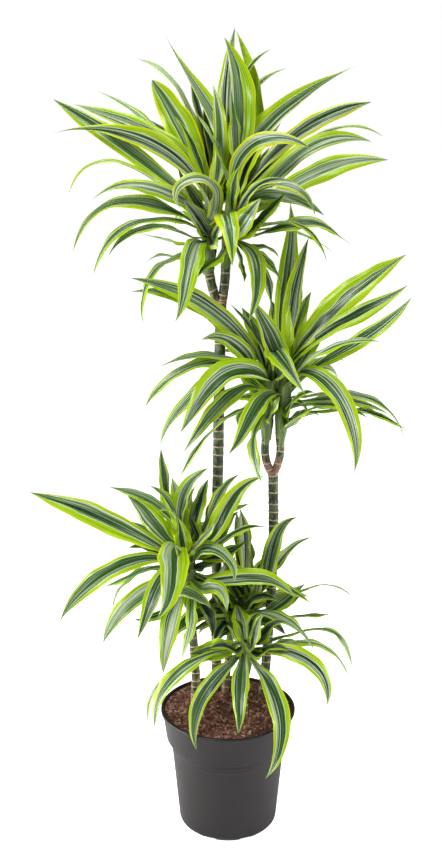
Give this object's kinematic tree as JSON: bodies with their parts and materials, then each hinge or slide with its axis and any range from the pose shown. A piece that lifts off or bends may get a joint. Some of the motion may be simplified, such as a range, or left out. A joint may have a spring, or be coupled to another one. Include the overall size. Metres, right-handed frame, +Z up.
{
  "type": "potted dracaena",
  "caption": "Potted dracaena: bare ringed canes of different heights, each with a head of long arching lime-edged leaves, in a tapered nursery pot with a collar and rolled lip.",
  "frame": {"origin": "middle of the pot's underside", "axes": "+Z up along the canes, -Y towards the viewer of the picture, +X to the viewer's right"},
  "size_m": [0.7603, 0.4834, 1.5958],
  "materials": {
    "pot": "moulded, soft satin",
    "soil": "loose peat and coir",
    "bark": "green bark with tan leaf scars",
    "leaf": "satin, striped green, white and lime"
  },
  "bodies": {
    "root": {"pot": "pot", "soil": "soil", "tall_cane": "bark", "middle_cane": "bark", "low_cane": "bark", "cut_cane": "bark", "front_cane": "bark", "tall_head": "leaf", "middle_head": "leaf", "low_head": "leaf", "side_head": "leaf", "front_head": "leaf"}
  },
  "joints": []
}
